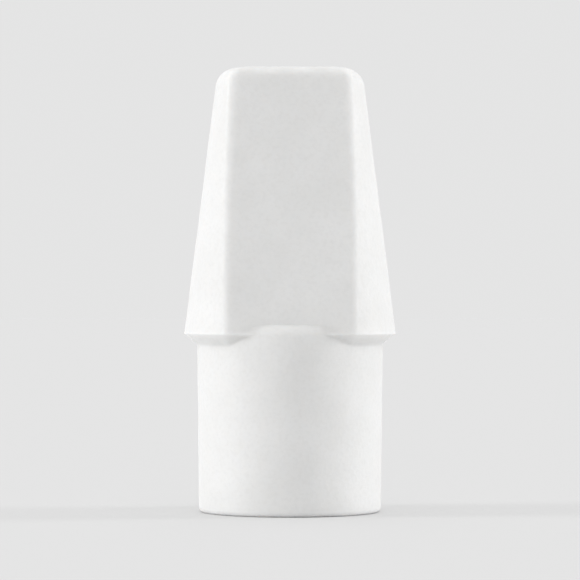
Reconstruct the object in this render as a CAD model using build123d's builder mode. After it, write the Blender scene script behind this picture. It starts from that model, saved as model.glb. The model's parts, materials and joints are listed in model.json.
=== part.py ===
from build123d import *

import os

# Pencil eraser topper, one moulding: a round sleeve with a blind socket for the end of a pencil, a flared
# shoulder, and a solid head that is a cone with two opposite flats and a blunt chisel tip.
# It stands on the sleeve's mouth. The origin is the centre of the mouth, +Z runs along the axis to the
# tip, the flats face -Y and +Y, and the wide way of the tip is along X. Millimetres.

# Socket for the pencil
SOCKET_DIAMETER = 6.8
SOCKET_DEPTH = 9.5
SOCKET_END_ROUND = 0.8
LEAD_IN = 0.4

# Sleeve, as long as shows at the sides of the head; in front of the flats it runs up to the socket's end
SLEEVE_LENGTH = 8.5
MOUTH_WALL = 1.2
SHOULDER_WALL = 1.3
MOUTH_ROUND = 0.25
LEDGE_ROUND = 0.6

# Shoulder, which flares out from the sleeve to the widest line of the head
SHOULDER_STEP = 0.65
SHOULDER_RISE = 0.5

# Head, from the widest line to the tip
HEAD_LENGTH = 13.4
TIP_WIDTH = 7.3
SHOULDER_FLAT_DEPTH = 1.05
TIP_FLAT_DEPTH = 1.5
TIP_CORNER_ROUND = 0.9
FLAT_EDGE_ROUND = 0.5

# Sizes that follow from the ones above
SOCKET_RADIUS = SOCKET_DIAMETER / 2
MOUTH_RADIUS = SOCKET_RADIUS + MOUTH_WALL
SLEEVE_TOP_RADIUS = SOCKET_RADIUS + SHOULDER_WALL
WIDEST_RADIUS = SLEEVE_TOP_RADIUS + SHOULDER_STEP
WIDEST_HEIGHT = SLEEVE_LENGTH + SHOULDER_RISE
TIP_HEIGHT = WIDEST_HEIGHT + HEAD_LENGTH

# The flare starts inside the sleeve's wall, so that the two surfaces cross at the crease
FLARE_SLOPE = SHOULDER_RISE / SHOULDER_STEP
FLARE_ROOT_INSET = SHOULDER_WALL / 2
FLARE_ROOT_RADIUS = SLEEVE_TOP_RADIUS - FLARE_ROOT_INSET
FLARE_ROOT_HEIGHT = SLEEVE_LENGTH - FLARE_ROOT_INSET * FLARE_SLOPE

# Each flat is one plane, given by half the head's thickness at the widest line and at the tip
WIDEST_HALF_THICKNESS = WIDEST_RADIUS - SHOULDER_FLAT_DEPTH
TIP_HALF_THICKNESS = TIP_WIDTH / 2 - TIP_FLAT_DEPTH
FLAT_SLOPE = (WIDEST_HALF_THICKNESS - TIP_HALF_THICKNESS) / HEAD_LENGTH
ROOT_HALF_THICKNESS = TIP_HALF_THICKNESS + FLAT_SLOPE * (TIP_HEIGHT - FLARE_ROOT_HEIGHT)

# The bevel under each flat has the flare's slope and starts where the flat meets the widest line
BEVEL_ROOT_HALF_THICKNESS = WIDEST_HALF_THICKNESS - (WIDEST_HEIGHT - FLARE_ROOT_HEIGHT) / FLARE_SLOPE
BEVEL_END_HEIGHT = WIDEST_HEIGHT + SHOULDER_FLAT_DEPTH * FLARE_SLOPE

with BuildPart() as eraser_cap:
    # Flare and head as a round body
    with BuildSketch(Plane.XZ):
        with BuildLine():
            Polyline(
                (0, FLARE_ROOT_HEIGHT),
                (FLARE_ROOT_RADIUS, FLARE_ROOT_HEIGHT),
                (WIDEST_RADIUS, WIDEST_HEIGHT),
                (TIP_WIDTH / 2, TIP_HEIGHT),
                (0, TIP_HEIGHT),
                close=True,
            )
        make_face()
        fillet(vertices().group_by(Axis.Y)[-1].sort_by(Axis.X)[-1], TIP_CORNER_ROUND)
    revolve(axis=Axis.Z)

    # The two flats, which leave only what lies inside this wedge
    with BuildSketch(Plane.YZ):
        with BuildLine():
            Polyline(
                (-ROOT_HALF_THICKNESS, FLARE_ROOT_HEIGHT),
                (ROOT_HALF_THICKNESS, FLARE_ROOT_HEIGHT),
                (TIP_HALF_THICKNESS, TIP_HEIGHT),
                (-TIP_HALF_THICKNESS, TIP_HEIGHT),
                close=True,
            )
        make_face()
    extrude(amount=WIDEST_RADIUS, both=True, mode=Mode.INTERSECT)

    # Rounded edges along each flat, up its sides and over the tip; its lowest edge is cut off next
    flats = eraser_cap.faces().filter_by(GeomType.PLANE).filter_by(Axis.Z, reverse=True)
    flat_edges = [edge for flat in flats for edge in flat.edges().sort_by(Axis.Z)[1:]]
    fillet(flat_edges, FLAT_EDGE_ROUND)

    # Bevels under the flats, so that the head's lower edge is level all round
    with BuildSketch(Plane.YZ):
        with BuildLine():
            Polyline(
                (BEVEL_ROOT_HALF_THICKNESS, FLARE_ROOT_HEIGHT),
                (WIDEST_RADIUS, FLARE_ROOT_HEIGHT),
                (WIDEST_RADIUS, BEVEL_END_HEIGHT),
                close=True,
            )
        make_face()
        mirror(about=Plane.YZ)
    extrude(amount=WIDEST_RADIUS, both=True, mode=Mode.SUBTRACT)

    # Sleeve, which stands a little proud of the flats up to the socket's end and has a rounded top there
    with BuildSketch(Plane.XZ):
        with BuildLine():
            Polyline(
                (0, 0),
                (MOUTH_RADIUS, 0),
                (SLEEVE_TOP_RADIUS, SOCKET_DEPTH),
                (0, SOCKET_DEPTH),
                close=True,
            )
        make_face()
        fillet(vertices().group_by(Axis.Y)[0].sort_by(Axis.X)[-1], MOUTH_ROUND)
        fillet(vertices().group_by(Axis.Y)[-1].sort_by(Axis.X)[-1], LEDGE_ROUND)
    revolve(axis=Axis.Z)

    # Socket, with a rounded end and a lead-in at the mouth
    with BuildSketch(Plane.XZ):
        with BuildLine():
            Polyline(
                (0, 0),
                (SOCKET_RADIUS + LEAD_IN, 0),
                (SOCKET_RADIUS, LEAD_IN),
                (SOCKET_RADIUS, SOCKET_DEPTH),
                (0, SOCKET_DEPTH),
                close=True,
            )
        make_face()
        fillet(vertices().group_by(Axis.Y)[-1].sort_by(Axis.X)[-1], SOCKET_END_ROUND)
    revolve(axis=Axis.Z, mode=Mode.SUBTRACT)

eraser_cap.part.label = "eraser_cap"

os.makedirs("parts", exist_ok=True)
export_step(eraser_cap.part, "parts/eraser_cap.step")
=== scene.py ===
import json
import math

import bpy
import numpy as np
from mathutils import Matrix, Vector, noise


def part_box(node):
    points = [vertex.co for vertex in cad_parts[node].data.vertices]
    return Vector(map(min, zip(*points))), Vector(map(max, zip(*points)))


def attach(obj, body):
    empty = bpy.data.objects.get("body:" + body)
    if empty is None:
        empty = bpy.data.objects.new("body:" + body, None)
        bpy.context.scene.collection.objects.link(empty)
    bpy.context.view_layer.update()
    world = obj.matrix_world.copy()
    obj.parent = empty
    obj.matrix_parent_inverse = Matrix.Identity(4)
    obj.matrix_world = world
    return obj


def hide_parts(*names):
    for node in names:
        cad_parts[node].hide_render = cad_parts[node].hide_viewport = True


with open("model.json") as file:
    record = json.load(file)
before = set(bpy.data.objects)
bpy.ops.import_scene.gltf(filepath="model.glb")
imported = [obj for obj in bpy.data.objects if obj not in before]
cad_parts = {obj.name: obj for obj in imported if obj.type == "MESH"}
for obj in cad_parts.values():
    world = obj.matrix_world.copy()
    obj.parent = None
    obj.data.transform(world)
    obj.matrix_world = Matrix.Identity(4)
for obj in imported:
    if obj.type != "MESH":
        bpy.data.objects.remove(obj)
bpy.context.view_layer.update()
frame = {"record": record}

# The scene is a pencil eraser topper that stands on its mouth, tip up, with a flat facing the camera
MM = 0.001
NODE = "eraser_cap"

# Sizes of the moulding, from the frame where the frame has them
node_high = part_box(NODE)[1]
socket = next(mount for mount in frame["record"]["mounts"] if mount["name"] == "pencil_socket")
socket_middle = socket["pos_m"][2]
socket_half_length = socket["dims"]["length_mm"] * MM / 2
TIP_HEIGHT = node_high.z
WIDEST_RADIUS = node_high.x
SOCKET_RADIUS = socket["dims"]["r_mm"] * MM
LEAD_IN = socket_middle - socket_half_length
SOCKET_WALL_END = socket_middle + socket_half_length
SOCKET_END_ROUND = 0.8 * MM
SOCKET_END = SOCKET_WALL_END + SOCKET_END_ROUND
MOUTH_WALL = 1.2 * MM
MOUTH_RADIUS = SOCKET_RADIUS + MOUTH_WALL
MOUTH_ROUND = 0.25 * MM
SHOULDER_WALL = 1.3 * MM
SLEEVE_TOP_RADIUS = SOCKET_RADIUS + SHOULDER_WALL
LEDGE_ROUND = 0.6 * MM
CREASE_HEIGHT = 8.5 * MM
WIDEST_HEIGHT = 9.0 * MM
FLARE_ROOT_RADIUS = SLEEVE_TOP_RADIUS - SHOULDER_WALL / 2
SHOULDER_FLAT_DEPTH = 1.05 * MM
TIP_RADIUS = 3.65 * MM
TIP_FLAT_DEPTH = 1.5 * MM
TIP_HALF_THICKNESS = TIP_RADIUS - TIP_FLAT_DEPTH
TIP_CORNER_ROUND = 0.9 * MM
FLAT_EDGE_ROUND = 0.5 * MM

# Soft details of the moulding
CREASE_BLEND = 0.16 * MM
WIDEST_BLEND = 0.12 * MM
LEAST_EDGE_BLEND = 0.02 * MM
FLASH_PROUD = 0.03 * MM
FLASH_HALF_HEIGHT = 0.05 * MM
FLAT_SINK = 0.03 * MM

# The tip's rounding grows between these two lengths, by which a flat's plane lies beyond the round side
CORNER_FROM = -0.3 * MM
CORNER_TO = 0.9 * MM

# Unevenness of the outer surface, which fades out towards the rim between two heights
UNEVEN_DEPTH = 0.014 * MM
UNEVEN_WAVELENGTH = 3.2 * MM
UNEVEN_FALLOFF = 0.6
UNEVEN_FREQUENCY_STEP = 2.0
UNEVEN_LAYERS = 3
EVEN_BELOW = 0.1 * MM
UNEVEN_ABOVE = 1.0 * MM

# How far the marks of the head's lower edge and of the creases reach
LOWER_EDGE_REACH = 0.2 * MM
CREASE_REACH = 3 * CREASE_BLEND

# Rings of points around the axis, and the count of rings in each stretch of the surface
RING_POINTS = 400
TIP_END_RINGS = 16
TIP_ROUND_RINGS = 14
HEAD_RINGS = 58
LEDGE_RINGS = 30
WIDEST_RINGS = 14
FLARE_RINGS = 20
SLEEVE_RINGS = 36
MOUTH_ROUND_RINGS = 8
RIM_RINGS = 6
LEAD_IN_RINGS = 6
SOCKET_WALL_RINGS = 24
SOCKET_ROUND_RINGS = 8
SOCKET_END_RINGS = 8

# The least ring at the tip and at the socket's end, as a share of the largest one there
LEAST_TIP_RING = 0.06
LEAST_SOCKET_RING = 0.08

# Heights at which one stretch of the outside ends and the next one down begins
HEAD_STRETCH_END = SOCKET_END + 0.2 * MM
LEDGE_STRETCH_END = WIDEST_HEIGHT + 0.12 * MM
WIDEST_STRETCH_END = WIDEST_HEIGHT - 0.16 * MM
FLARE_STRETCH_END = CREASE_HEIGHT - 0.3 * MM

# Colours of the eraser compound, and a grey of dust and painted shade for its creases
PLAIN_WHITE = (0.775, 0.775, 0.768)
MOTTLE_WHITE = (0.81, 0.81, 0.806)
GRAIN_GREY = (0.72, 0.718, 0.71)
# Dust with painted shade: a grey that darkens the creases in place of the shade that falls there
DUST_AND_SHADE_GREY = (0.60, 0.595, 0.58)
WORN_WHITE = (0.84, 0.84, 0.838)

# Patterns in the compound: broad mottling, small patches and fine grain
MOTTLE_WAVELENGTH = 2.6 * MM
MOTTLE_DETAIL = 4
PATCH_WAVELENGTH = 0.9 * MM
PATCH_DETAIL = 3
GRAIN_WAVELENGTH = 0.2 * MM
GRAIN_DETAIL = 2

# The range of a pattern that counts, and the range of the share or the roughness that it turns into
MOTTLE_RANGE = (0.32, 0.68)
MOTTLE_SHARE = (0, 1)
GRAIN_RANGE = (0.45, 0.75)
GRAIN_SHARE = (0, 0.35)
DUST_AND_SHADE_RANGE = (0.3, 0.7)
DUST_AND_SHADE_SHARE = (0.05, 0.3)
WEAR_RANGE = (0.4, 0.65)
WEAR_SHARE = (0, 0.7)
ROUGHNESS_RANGE = (0.2, 0.8)
ROUGHNESS = (0.44, 0.68)

# Relief, translucence and shine of the compound
DIMPLE_DEPTH = 0.03 * MM
DIMPLE_STRENGTH = 0.4
GRAIN_DEPTH = 0.012 * MM
GRAIN_STRENGTH = 0.7
SUBSURFACE_WEIGHT = 0.7
SUBSURFACE_COLOUR_REACH = (1.0, 0.95, 0.9)
SUBSURFACE_DEPTH = 0.6 * MM
SPECULAR_LEVEL = 0.4

# Soft light from the left, the right, the front and above, and even light from the air all round
SKY_GREY = 0.78
KEY_POWER = 1.24
FILL_POWER = 1.12
FRONT_POWER = 0.16
TOP_POWER = 0.4
KEY_AZIMUTH = math.radians(-84)
FILL_AZIMUTH = math.radians(98)
FRONT_AZIMUTH = 0.0
TOP_AZIMUTH = 0.0
SIDE_ELEVATION = math.radians(10)
SIDE_SOFTNESS = math.radians(20)
FRONT_ELEVATION = math.radians(4)
FRONT_SOFTNESS = math.radians(40)
TOP_ELEVATION = math.radians(90)
TOP_SOFTNESS = math.radians(60)

# A pale floor as bright as the air, so that no horizon shows from any side; the radius is in metres
FLOOR_RADIUS = 1.1
FLOOR_POINTS = 96
FLOOR_ROUGHNESS = 0.9
side_light_down = (KEY_POWER + FILL_POWER) * math.sin(SIDE_ELEVATION)
light_down = side_light_down + FRONT_POWER * math.sin(FRONT_ELEVATION) + TOP_POWER
FLOOR_GREY = SKY_GREY / (SKY_GREY + light_down / math.pi)

# Camera, with its lens in millimetres and its distances in metres
CAMERA_LENS = 200
CAMERA_DISTANCE = 0.163
CAMERA_NEAREST = 0.01
CAMERA_FARTHEST = 10

# Directions around the axis, and how squarely each of them faces a flat, which is never quite 0
LEAST_FACING = 1e-6
angles = np.linspace(0, 2 * np.pi, RING_POINTS, endpoint=False)
flat_facing = np.maximum(np.abs(np.sin(angles)), LEAST_FACING)


def nearness(a, b, blend):
    """Return 1 where a and b are equal, falling to 0 where they differ by the blend length."""
    return np.clip(1 - np.abs(a - b) / blend, 0, 1)


def smooth_min(a, b, blend):
    """Return the lesser of a and b, with a rounded change between them over the blend length."""
    return np.minimum(a, b) - nearness(a, b, blend) ** 2 * blend / 4


def smooth_max(a, b, blend):
    """Return the greater of a and b, with a rounded change between them over the blend length."""
    return np.maximum(a, b) + nearness(a, b, blend) ** 2 * blend / 4


def ease(value, low, high):
    """Return 0 below low and 1 above high, with a smooth change between."""
    share = np.clip((value - low) / (high - low), 0, 1)
    return share * share * (3 - 2 * share)


def line(height, low, high):
    """Return the value at a height on the straight line through two (height, value) points."""
    share = (height - low[0]) / (high[0] - low[0])
    return low[1] + share * (high[1] - low[1])


def spread(low, high, count):
    """Return evenly spaced values from low to high, without the last."""
    return np.linspace(low, high, count, endpoint=False)


def sleeve_radius(height):
    """Return the sleeve's radius at a height: rounded off at the socket's end, and 0 above it."""
    side = line(height, (0, MOUTH_RADIUS), (SOCKET_END, SLEEVE_TOP_RADIUS))
    into_round = np.clip((height - SOCKET_END) / LEDGE_ROUND + 1, 0, 1)
    rounded = side - LEDGE_ROUND * (1 - np.sqrt(1 - into_round ** 2))
    return np.where(height < SOCKET_END, rounded, 0)


def flare_radius(height):
    """Return the radius of the flare under the widest line, down to where the sleeve hides it."""
    flare = line(height, (CREASE_HEIGHT, SLEEVE_TOP_RADIUS), (WIDEST_HEIGHT, WIDEST_RADIUS))
    return np.maximum(flare, FLARE_ROOT_RADIUS)


def cone_radius(height):
    """Return the radius of the head's round sides at a height."""
    return line(height, (WIDEST_HEIGHT, WIDEST_RADIUS), (TIP_HEIGHT, TIP_RADIUS))


def flat_distance(height):
    """Return how far the flats are from the axis, sunk midway and bevelled under the widest line."""
    widest_half_thickness = WIDEST_RADIUS - SHOULDER_FLAT_DEPTH
    plane = line(height, (WIDEST_HEIGHT, widest_half_thickness), (TIP_HEIGHT, TIP_HALF_THICKNESS))
    middle = (WIDEST_HEIGHT + TIP_HEIGHT) / 2
    sink = FLAT_SINK * ease(height, WIDEST_HEIGHT, middle) * (1 - ease(height, middle, TIP_HEIGHT))
    return smooth_min(plane - sink, flare_radius(height) - SHOULDER_FLAT_DEPTH, WIDEST_BLEND)


def outer_ring(height, inset=0.0):
    """Return the outer surface at the heights of a ring, drawn in by an inset.

    The first result is the distance from the axis at each angle, the second is 1 on an outer edge
    and the third is 1 in a crease.
    """
    height = np.broadcast_to(height, RING_POINTS)
    sleeve = sleeve_radius(height) - inset
    flat = flat_distance(height) - inset
    round_side = smooth_min(flare_radius(height), cone_radius(height) - inset, WIDEST_BLEND)
    turn = np.arccos(np.clip(flat / round_side, 0, 1))
    edge_blend = np.maximum(FLAT_EDGE_ROUND * np.tan(turn) * np.tan(turn / 2), LEAST_EDGE_BLEND)
    flat_side = flat / flat_facing
    head = smooth_min(round_side, flat_side, edge_blend)
    head = head + FLASH_PROUD * np.exp(-(((height - WIDEST_HEIGHT) / FLASH_HALF_HEIGHT) ** 2))
    side_edge = nearness(round_side, flat_side, edge_blend) * (height > WIDEST_HEIGHT)
    lower_edge = nearness(height, WIDEST_HEIGHT, LOWER_EDGE_REACH) * (head > sleeve)
    crease = nearness(sleeve, head, CREASE_REACH)
    return smooth_max(sleeve, head, CREASE_BLEND), np.maximum(side_edge, lower_edge), crease


def tip_round():
    """Return the rounding of the tip at each angle: large at its two ends, small along the flats."""
    height = TIP_HEIGHT - FLAT_EDGE_ROUND
    beyond_flat = flat_distance(height) / flat_facing - cone_radius(height)
    growth = TIP_CORNER_ROUND - FLAT_EDGE_ROUND
    return FLAT_EDGE_ROUND + growth * ease(beyond_flat, CORNER_FROM, CORNER_TO)


class Skin:
    """Rings of points that follow one another over a closed surface, with edge and crease marks."""

    def __init__(self):
        self.points = []
        self.edges = []
        self.creases = []

    def add(self, height, distance, edge=0.0, crease=0.0):
        """Add a ring, given its height, distance from the axis and marks at each angle."""
        height = np.broadcast_to(height, RING_POINTS)
        distance = np.broadcast_to(distance, RING_POINTS)
        ring = np.stack([distance * np.cos(angles), distance * np.sin(angles), height], axis=1)
        self.points.append(ring)
        self.edges.append(np.broadcast_to(edge, RING_POINTS))
        self.creases.append(np.broadcast_to(crease, RING_POINTS))

    def build(self, name):
        """Return a closed mesh object through the rings, with a fan of triangles at each end."""
        centres = [ring.mean(axis=0) for ring in (self.points[0], self.points[-1])]
        points = np.concatenate(self.points + [np.array(centres)])
        columns = np.arange(RING_POINTS)
        after = (columns + 1) % RING_POINTS
        faces = []
        for row in range(len(self.points) - 1):
            here = row * RING_POINTS
            below = here + RING_POINTS
            corners = [here + columns, below + columns, below + after, here + after]
            faces += np.stack(corners, axis=1).tolist()
        first_centre = len(self.points) * RING_POINTS
        last_row = first_centre - RING_POINTS
        for column in range(RING_POINTS):
            faces.append((first_centre, column, after[column]))
            faces.append((first_centre + 1, last_row + after[column], last_row + column))
        mesh = bpy.data.meshes.new(name)
        mesh.from_pydata(points.tolist(), [], faces)
        for polygon in mesh.polygons:
            polygon.use_smooth = True
        for mark, rings in (("edge", self.edges), ("crease", self.creases)):
            values = np.concatenate(rings + [np.zeros(len(centres))])
            attribute = mesh.attributes.new(mark, "FLOAT", "POINT")
            attribute.data.foreach_set("value", values.astype(np.float32))
        piece = bpy.data.objects.new(name, mesh)
        bpy.context.scene.collection.objects.link(piece)
        return piece


def add_head(skin):
    """Add the tip's end, its rounded edge, the head and the shoulder, from the tip down."""
    rounding = tip_round()
    end = outer_ring(TIP_HEIGHT, rounding)[0]
    for share in spread(LEAST_TIP_RING, 1, TIP_END_RINGS):
        skin.add(TIP_HEIGHT, end * share)
    for turn in np.linspace(np.pi / 2, 0, TIP_ROUND_RINGS):
        height = TIP_HEIGHT - rounding * (1 - math.sin(turn))
        distance, edge, crease = outer_ring(height, rounding * (1 - math.cos(turn)))
        skin.add(height, distance, np.maximum(edge, math.sin(2 * turn)), crease)
    top = TIP_HEIGHT - rounding
    for share in spread(0, 1, HEAD_RINGS)[1:]:
        height = top + share * (HEAD_STRETCH_END - top)
        skin.add(height, *outer_ring(height))
    levels = np.concatenate([
        spread(HEAD_STRETCH_END, LEDGE_STRETCH_END, LEDGE_RINGS),
        spread(LEDGE_STRETCH_END, WIDEST_STRETCH_END, WIDEST_RINGS),
        spread(WIDEST_STRETCH_END, FLARE_STRETCH_END, FLARE_RINGS),
    ])
    for height in levels:
        skin.add(height, *outer_ring(height))


def add_sleeve(skin):
    """Add the sleeve and its mouth, from below the crease down to the rim."""
    for height in spread(FLARE_STRETCH_END, MOUTH_ROUND, SLEEVE_RINGS):
        skin.add(height, *outer_ring(height))
    for turn in np.linspace(0, np.pi / 2, MOUTH_ROUND_RINGS):
        height = MOUTH_ROUND * (1 - math.sin(turn))
        distance = outer_ring(height, MOUTH_ROUND * (1 - math.cos(turn)))[0]
        skin.add(height, distance, math.sin(2 * turn))
    for radius in np.linspace(MOUTH_RADIUS - MOUTH_ROUND, SOCKET_RADIUS + LEAD_IN, RIM_RINGS)[1:]:
        skin.add(0.0, radius)


def add_socket(skin):
    """Add the lead-in, the socket's wall and its rounded end, from the rim up."""
    for share in np.linspace(0, 1, LEAD_IN_RINGS)[1:]:
        skin.add(LEAD_IN * share, SOCKET_RADIUS + LEAD_IN * (1 - share))
    for height in np.linspace(LEAD_IN, SOCKET_WALL_END, SOCKET_WALL_RINGS)[1:]:
        skin.add(height, SOCKET_RADIUS)
    for turn in np.linspace(0, np.pi / 2, SOCKET_ROUND_RINGS)[1:]:
        height = SOCKET_WALL_END + SOCKET_END_ROUND * math.sin(turn)
        skin.add(height, SOCKET_RADIUS - SOCKET_END_ROUND * (1 - math.cos(turn)))
    end_radius = SOCKET_RADIUS - SOCKET_END_ROUND
    for share in np.linspace(1, LEAST_SOCKET_RING, SOCKET_END_RINGS)[1:]:
        skin.add(SOCKET_END, end_radius * share)


def make_uneven(piece):
    """Move the outer surface a little in and out, as soft compound leaves the mould.

    The socket keeps its size and the rim stays flat.
    """
    mesh = piece.data
    normals = [vertex.normal.copy() for vertex in mesh.vertices]
    for vertex, normal in zip(mesh.vertices, normals):
        place = vertex.co
        if place.xy.length < SOCKET_RADIUS + LEAD_IN and place.z <= SOCKET_END:
            continue
        clear_of_rim = float(ease(place.z, EVEN_BELOW, UNEVEN_ABOVE))
        where = place / UNEVEN_WAVELENGTH
        wave = noise.fractal(where, UNEVEN_FALLOFF, UNEVEN_FREQUENCY_STEP, UNEVEN_LAYERS)
        vertex.co = place + normal * (wave * UNEVEN_DEPTH * clear_of_rim)
    mesh.update()


class Nodes:
    """Short calls that add the nodes of one material."""

    def __init__(self, name):
        self.material = bpy.data.materials.new(name)
        self.material.use_nodes = True
        self.tree = self.material.node_tree
        self.shader = self.tree.nodes["Principled BSDF"]
        self.place = self.tree.nodes.new("ShaderNodeTexCoord").outputs["Object"]

    def feed(self, value, name):
        """Lead a value to an input of the material's shader."""
        self.tree.links.new(value, self.shader.inputs[name])

    def noise(self, wavelength, detail):
        """Return noise from 0 to 1 with a wavelength in metres."""
        node = self.tree.nodes.new("ShaderNodeTexNoise")
        node.inputs["Scale"].default_value = 1 / wavelength
        node.inputs["Detail"].default_value = detail
        self.tree.links.new(self.place, node.inputs["Vector"])
        return node.outputs["Fac"]

    def mark(self, name):
        """Return a mark that the mesh carries."""
        node = self.tree.nodes.new("ShaderNodeAttribute")
        node.attribute_name = name
        return node.outputs["Fac"]

    def scaled(self, value, source, target):
        """Return a value moved from the source range to the target range and kept inside it."""
        node = self.tree.nodes.new("ShaderNodeMapRange")
        node.inputs["From Min"].default_value = source[0]
        node.inputs["From Max"].default_value = source[1]
        node.inputs["To Min"].default_value = target[0]
        node.inputs["To Max"].default_value = target[1]
        self.tree.links.new(value, node.inputs["Value"])
        return node.outputs["Result"]

    def product(self, a, b):
        """Return one value times another."""
        node = self.tree.nodes.new("ShaderNodeMath")
        node.operation = "MULTIPLY"
        self.tree.links.new(a, node.inputs[0])
        self.tree.links.new(b, node.inputs[1])
        return node.outputs["Value"]

    def tinted(self, colour, tint, share):
        """Return a colour that goes over to a tint by a share; it is a socket or three numbers."""
        node = self.tree.nodes.new("ShaderNodeMixRGB")
        node.inputs["Color2"].default_value = (*tint, 1)
        self.tree.links.new(share, node.inputs["Fac"])
        if isinstance(colour, tuple):
            node.inputs["Color1"].default_value = (*colour, 1)
        else:
            self.tree.links.new(colour, node.inputs["Color1"])
        return node.outputs["Color"]

    def bump(self, height, strength, depth, under=None):
        """Return the normal of a bumpy surface, on top of another normal where one is given."""
        node = self.tree.nodes.new("ShaderNodeBump")
        node.inputs["Strength"].default_value = strength
        node.inputs["Distance"].default_value = depth
        self.tree.links.new(height, node.inputs["Height"])
        if under is not None:
            self.tree.links.new(under, node.inputs["Normal"])
        return node.outputs["Normal"]


def eraser_material():
    """White vinyl eraser: matte, a little translucent and finely grained, with dust and painted shade
    in its creases.
    """
    nodes = Nodes("eraser_vinyl")
    shader = nodes.shader
    shader.inputs["Subsurface Weight"].default_value = SUBSURFACE_WEIGHT
    shader.inputs["Subsurface Radius"].default_value = SUBSURFACE_COLOUR_REACH
    shader.inputs["Subsurface Scale"].default_value = SUBSURFACE_DEPTH
    shader.inputs["Specular IOR Level"].default_value = SPECULAR_LEVEL

    mottle = nodes.noise(MOTTLE_WAVELENGTH, MOTTLE_DETAIL)
    patch = nodes.noise(PATCH_WAVELENGTH, PATCH_DETAIL)
    grain = nodes.noise(GRAIN_WAVELENGTH, GRAIN_DETAIL)

    mottled = nodes.scaled(mottle, MOTTLE_RANGE, MOTTLE_SHARE)
    grainy = nodes.scaled(grain, GRAIN_RANGE, GRAIN_SHARE)
    # Dust and painted shade: the creases go grey in patches, standing in for the shade in them
    crease_dust_and_shade = nodes.product(nodes.mark("crease"), nodes.scaled(patch, DUST_AND_SHADE_RANGE, DUST_AND_SHADE_SHARE))
    worn = nodes.product(nodes.mark("edge"), nodes.scaled(patch, WEAR_RANGE, WEAR_SHARE))
    colour = nodes.tinted(PLAIN_WHITE, MOTTLE_WHITE, mottled)
    colour = nodes.tinted(colour, GRAIN_GREY, grainy)
    colour = nodes.tinted(colour, DUST_AND_SHADE_GREY, crease_dust_and_shade)
    colour = nodes.tinted(colour, WORN_WHITE, worn)
    nodes.feed(colour, "Base Color")

    nodes.feed(nodes.scaled(grain, ROUGHNESS_RANGE, ROUGHNESS), "Roughness")

    dimpled = nodes.bump(patch, DIMPLE_STRENGTH, DIMPLE_DEPTH)
    grained = nodes.bump(grain, GRAIN_STRENGTH, GRAIN_DEPTH, dimpled)
    nodes.feed(grained, "Normal")
    return nodes.material


def build_moulding():
    """Build the detailed moulding and put it in place of the plain solid."""
    skin = Skin()
    add_head(skin)
    add_sleeve(skin)
    add_socket(skin)
    piece = skin.build("moulded_eraser")
    make_uneven(piece)
    piece.data.materials.append(eraser_material())
    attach(piece, "root")
    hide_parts(NODE)


def floor_material():
    """Plain pale paper."""
    material = bpy.data.materials.new("pale_paper")
    material.use_nodes = True
    shader = material.node_tree.nodes["Principled BSDF"]
    shader.inputs["Base Color"].default_value = (FLOOR_GREY, FLOOR_GREY, FLOOR_GREY, 1)
    shader.inputs["Roughness"].default_value = FLOOR_ROUGHNESS
    shader.inputs["Specular IOR Level"].default_value = 0
    return material


def build_floor():
    """Build the floor as a wide round sheet."""
    turns = spread(0, 2 * np.pi, FLOOR_POINTS)
    points = [(FLOOR_RADIUS * math.cos(turn), FLOOR_RADIUS * math.sin(turn), 0) for turn in turns]
    mesh = bpy.data.meshes.new("studio_floor")
    mesh.from_pydata(points, [], [list(range(FLOOR_POINTS))])
    floor = bpy.data.objects.new("studio_floor", mesh)
    floor.data.materials.append(floor_material())
    bpy.context.scene.collection.objects.link(floor)


def soft_light(name, power, azimuth, elevation, softness):
    """Add a soft light from an azimuth, counted from the camera's side towards +X, and an elevation."""
    data = bpy.data.lights.new(name, "SUN")
    data.energy = power
    data.angle = softness
    lamp = bpy.data.objects.new(name, data)
    level = math.cos(elevation)
    towards_lamp = Vector((math.sin(azimuth) * level, -math.cos(azimuth) * level, math.sin(elevation)))
    lamp.rotation_euler = (-towards_lamp).to_track_quat("-Z", "Y").to_euler()
    bpy.context.scene.collection.objects.link(lamp)


def light_studio():
    """Light the set evenly all round, with four soft lights."""
    soft_light("key_left", KEY_POWER, KEY_AZIMUTH, SIDE_ELEVATION, SIDE_SOFTNESS)
    soft_light("fill_right", FILL_POWER, FILL_AZIMUTH, SIDE_ELEVATION, SIDE_SOFTNESS)
    soft_light("front", FRONT_POWER, FRONT_AZIMUTH, FRONT_ELEVATION, FRONT_SOFTNESS)
    soft_light("top", TOP_POWER, TOP_AZIMUTH, TOP_ELEVATION, TOP_SOFTNESS)
    world = bpy.data.worlds.new("studio")
    world.use_nodes = True
    background = world.node_tree.nodes["Background"]
    background.inputs["Color"].default_value = (SKY_GREY, SKY_GREY, SKY_GREY, 1)
    bpy.context.scene.world = world


def place_camera():
    """Look square at a flat of the head, level with the middle of the part."""
    data = bpy.data.cameras.new("camera")
    data.lens = CAMERA_LENS
    data.clip_start = CAMERA_NEAREST
    data.clip_end = CAMERA_FARTHEST
    camera = bpy.data.objects.new("camera", data)
    camera.location = (0, -CAMERA_DISTANCE, TIP_HEIGHT / 2)
    camera.rotation_euler = (math.pi / 2, 0, 0)
    bpy.context.scene.collection.objects.link(camera)
    bpy.context.scene.camera = camera


build_moulding()
build_floor()
light_studio()
place_camera()
bpy.context.scene.view_settings.view_transform = "Standard"
